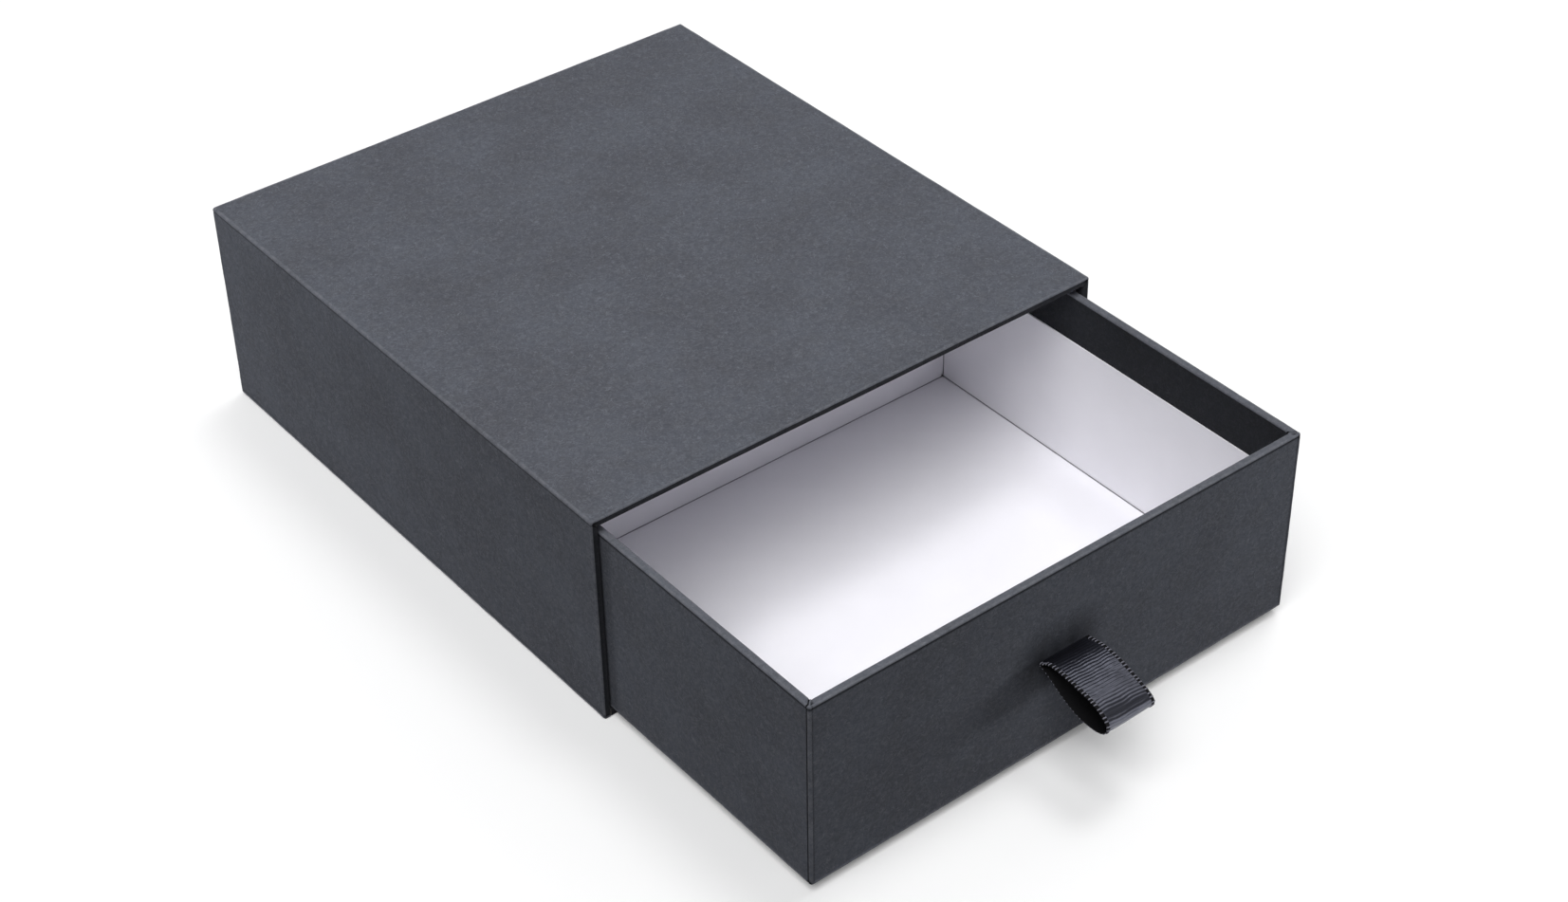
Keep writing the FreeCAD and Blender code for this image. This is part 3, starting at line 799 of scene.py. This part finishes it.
ribbon_low, ribbon_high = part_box("pull_ribbon")
tails_low, tails_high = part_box("ribbon_tails")
ribbon_thick = 0.3 * MM
ribbon_width = ribbon_high.x - ribbon_low.x
ribbon_cut = 94 * MM
along_count = 230
across_count = 32
edging_width = 1.25 * MM
dents_along, dent_width, dent_height = 9.0, 11 * MM, 0.35 * MM
# The ribbon's run seen from the side, as (out from the drawer, up from the slit) in mm: down the
# inner face of the front board, through the slit, and round the loop, whose two edges differ
behind = tails_high.y - ribbon_thick / 2 - tray_low.y
tail = (tails_high.z - tails_low.z) / 2
layer_rise = 0.2
tail_run = [(-behind / MM, tail / MM), (-behind / MM, tail / MM / 2), (-behind / MM, 0.75),
            (-behind / MM + 0.4, layer_rise), (-1.2, layer_rise), (0.0, layer_rise)]
left_run = [(1.4, 0.75), (3.5, 2.2), (7.5, 2.5), (12.1, 2.1), (17.5, 1.3), (22.6, 0.1), (26.6, -1.8),
            (28.9, -4.4), (28.3, -7.2), (24.6, -8.9), (17.4, -8.5), (10.3, -5.9), (5.0, -2.4),
            (1.4, -0.55)]
right_run = [(1.4, 0.4), (3.8, 0.8), (8.0, 1.1), (12.6, 0.5), (17.6, -0.8), (22.0, -2.2), (26.0, -3.9),
             (28.2, -6.0), (27.4, -8.4), (23.8, -9.6), (17.2, -9.0), (10.4, -6.3), (5.0, -2.8),
             (1.4, -0.6)]


def ribbon_edge(loop_run):
    """The run of one edge from tail to tail. The lower tail mirrors the upper one."""
    lower_tail = [(out, -up) for out, up in reversed(tail_run)]
    return [Vector((out, up)) for out, up in tail_run + loop_run + lower_tail]


left_edge, right_edge = ribbon_edge(left_run), ribbon_edge(right_run)
columns = []
for i in range(across_count + 1):
    share = i / across_count
    side_view = [a.lerp(b, share) for a, b in zip(left_edge, right_edge)]
    line = evenly(curve_through(side_view, 16), along_count)
    columns.append([Vector((ribbon_low.x + ribbon_width * share, tray_low.y - at.x * MM,
                            slit_z + at.y * MM)) for at in line])
for column in columns:
    for k, place in enumerate(column):
        outside = tray_low.y - 1.0 * MM - place.y
        loose = max(0.0, min(1.0, outside / (5 * MM)))
        dent = noise.noise(Vector((k / along_count * dents_along, place.x / dent_width, 3.0)))
        place.z += dent_height * loose * dent
woven = bmesh.new()
uv_layer = woven.loops.layers.uv.new("UVMap")
made = [[woven.verts.new(place) for place in column] for column in columns]
for i in range(across_count):
    for k in range(along_count):
        corners = [(i, k), (i + 1, k), (i + 1, k + 1), (i, k + 1)]
        face = woven.faces.new([made[a][b] for a, b in corners])
        for loop, (a, b) in zip(face.loops, corners):
            loop[uv_layer].uv = (b / along_count * ribbon_cut, a / across_count * ribbon_width)
ribbon_mesh = bpy.data.meshes.new("pull_ribbon_satin")
woven.to_mesh(ribbon_mesh)
woven.free()
ribbon = bpy.data.objects.new("pull_ribbon_satin", ribbon_mesh)
bpy.context.scene.collection.objects.link(ribbon)
ribbon_mesh.materials.append(dull_side())
ribbon_mesh.materials.append(satin())
solid = ribbon.modifiers.new("thickness", "SOLIDIFY")
solid.thickness = ribbon_thick
solid.offset = 0
solid.material_offset = 1
settled(ribbon, 60)
for face in ribbon.data.polygons:
    if abs(face.center.x) > ribbon_high.x - edging_width:
        face.material_index = 0
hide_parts("pull_ribbon", "ribbon_tails")


def hold_at_slit(piece):
    """Bakes a piece of the ribbon's placement into its mesh."""
    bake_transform(piece)


hold_at_slit(ribbon)


# Selvedges of the ribbon. The weft turns back in loose loops of thicker thread along both edges,
# so each edge is a row of small rungs. They are drawn 1.4 mm apart, coarser than real.
def weft_thread():
    """Twisted black polyester thread, its shine painted into its colour as mid grey, so it shows brighter
    than the satin.
    """
    material, tree = new_material("black polyester thread")
    place = add(tree, "TexCoord").outputs["Object"]
    twist = add(tree, "TexNoise", {"Vector": place, "Scale": 1 / (0.3 * MM)})
    # Painted sheen: the black thread is coloured mid grey.
    tone = add(tree, "Mix", {0: twist, 6: to_linear("#4A4A54"), 7: to_linear("#82828E")},
               data_type="RGBA")
    relief = add(tree, "Bump", {"Height": twist, "Distance": 0.04 * MM})
    surface = add(tree, "BsdfPrincipled", {"Base Color": tone, "Normal": relief, "Roughness": 0.42})
    add(tree, "OutputMaterial", {"Surface": surface})
    return material


rung_pitch = 1.4 * MM
rung_wobble, wobble_size = 0.12 * MM, 1.7 * MM
thread_half = 0.16 * MM
thread_spread = 1.5
# A rung seen from the side, as (in from the ribbon's edge, out from its face) in mm
rung_run = ((1.35, 0.12), (1.15, 0.24), (0.5, 0.27), (0.12, 0.22), (-0.04, 0.04), (0.0, -0.1))
rung_sides = 6
edging = bmesh.new()
rung_count = round(ribbon_cut / rung_pitch)
for column, inner in ((columns[0], columns[1]), (columns[-1], columns[-2])):
    for n in range(rung_count):
        k = round((n + 0.5) / rung_count * along_count)
        if column[k].y > tray_low.y - 0.3 * MM:
            continue
        inward = (inner[k] - column[k]).normalized()
        forward = (column[k + 1] - column[k - 1]).normalized()
        outward = forward.cross(columns[-1][k] - columns[0][k]).normalized()
        wobble = rung_wobble * noise.noise(column[k] / wobble_size)
        path = [column[k] + inward * (place * MM + wobble) + outward * (rise * MM)
                for place, rise in rung_run]
        rings = []
        for j, centre in enumerate(path):
            ahead = (path[min(j + 1, len(path) - 1)] - path[max(j - 1, 0)]).normalized()
            up = forward.cross(ahead)
            slim = 0.5 if j in (0, len(path) - 1) else 1.0
            turns = [2 * math.pi * m / rung_sides for m in range(rung_sides)]
            rings.append([edging.verts.new(centre + (forward * thread_spread * math.cos(turn)
                                                     + up * math.sin(turn)) * thread_half * slim)
                          for turn in turns])
        for near, far in zip(rings, rings[1:]):
            for m in range(rung_sides):
                edging.faces.new((near[m], near[m - 1], far[m - 1], far[m]))
        edging.faces.new(rings[0])
        edging.faces.new(reversed(rings[-1]))
bmesh.ops.recalc_face_normals(edging, faces=edging.faces)
edging_mesh = bpy.data.meshes.new("pull_ribbon_selvedges")
edging.to_mesh(edging_mesh)
edging.free()
edging_mesh.polygons.foreach_set("use_smooth", [True] * len(edging_mesh.polygons))
edging_mesh.materials.append(weft_thread())
selvedges = bpy.data.objects.new("pull_ribbon_selvedges", edging_mesh)
bpy.context.scene.collection.objects.link(selvedges)
hold_at_slit(selvedges)
